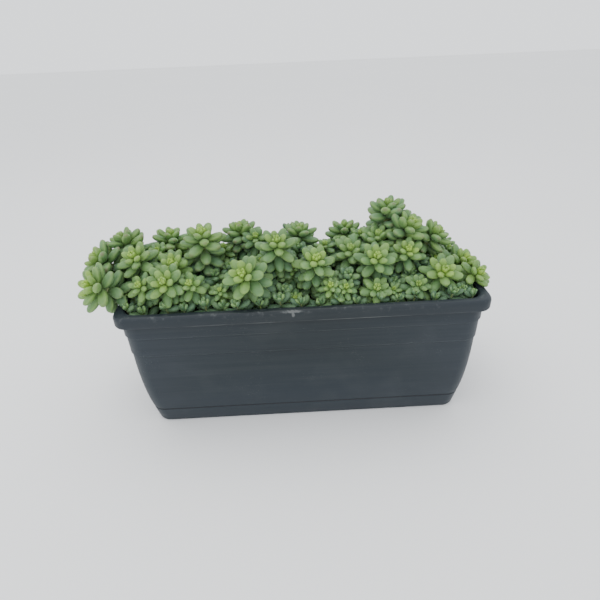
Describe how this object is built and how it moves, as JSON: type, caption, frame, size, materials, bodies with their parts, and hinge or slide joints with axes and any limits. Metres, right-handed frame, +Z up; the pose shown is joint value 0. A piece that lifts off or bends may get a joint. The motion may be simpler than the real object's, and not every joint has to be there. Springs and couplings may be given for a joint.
{
  "type": "potted burro's tail plant",
  "caption": "Rectangular window-box trough with a turned-down rim, filled with soil and crowded with plump-leaved burro's tail stems that lean over its ends.",
  "frame": {"origin": "middle of the trough's flat base, on the surface that it stands on", "axes": "+Z up, +X along the trough's length, -Y towards the side that the picture shows"},
  "size_m": [0.4522, 0.17, 0.2374],
  "materials": {
    "planter": "slate-grey moulded plastic, softly matt, with fine streaks and pale scuffs along the rim",
    "soil": "dark crumbly potting mix with small pale grains",
    "leaves": "plump green leaves with a thin powdery bloom, yellow-green at the bud and bluer below"
  },
  "bodies": {
    "root": {"planter": "planter", "soil": "soil", "leafy_stem_01": "leaves", "leafy_stem_02": "leaves", "leafy_stem_03": "leaves", "leafy_stem_04": "leaves", "leafy_stem_05": "leaves", "leafy_stem_06": "leaves", "leafy_stem_07": "leaves", "leafy_stem_08": "leaves", "leafy_stem_09": "leaves", "leafy_stem_10": "leaves", "leafy_stem_11": "leaves", "leafy_stem_12": "leaves", "leafy_stem_13": "leaves", "leafy_stem_14": "leaves", "leafy_stem_15": "leaves", "leafy_stem_16": "leaves", "leafy_stem_17": "leaves", "leafy_stem_18": "leaves", "leafy_stem_19": "leaves", "leafy_stem_20": "leaves", "leafy_stem_21": "leaves", "leafy_stem_22": "leaves", "leafy_stem_23": "leaves", "leafy_stem_24": "leaves", "leafy_stem_25": "leaves", "leafy_stem_26": "leaves", "leafy_stem_27": "leaves", "leafy_stem_28": "leaves", "leafy_stem_29": "leaves", "leafy_stem_30": "leaves", "leafy_stem_31": "leaves", "leafy_stem_32": "leaves", "leafy_stem_33": "leaves", "leafy_stem_34": "leaves", "leafy_stem_35": "leaves", "leafy_stem_36": "leaves", "leafy_stem_37": "leaves", "leafy_stem_38": "leaves", "leafy_stem_39": "leaves", "leafy_stem_40": "leaves", "leafy_stem_41": "leaves", "leafy_stem_42": "leaves", "leafy_stem_43": "leaves", "leafy_stem_44": "leaves", "leafy_stem_45": "leaves", "leafy_stem_46": "leaves", "leafy_stem_47": "leaves", "leafy_stem_48": "leaves", "leafy_stem_49": "leaves", "leafy_stem_50": "leaves", "leafy_stem_51": "leaves", "leafy_stem_52": "leaves", "leafy_stem_53": "leaves", "leafy_stem_54": "leaves", "leafy_stem_55": "leaves", "leafy_stem_56": "leaves", "leafy_stem_57": "leaves"}
  },
  "joints": []
}
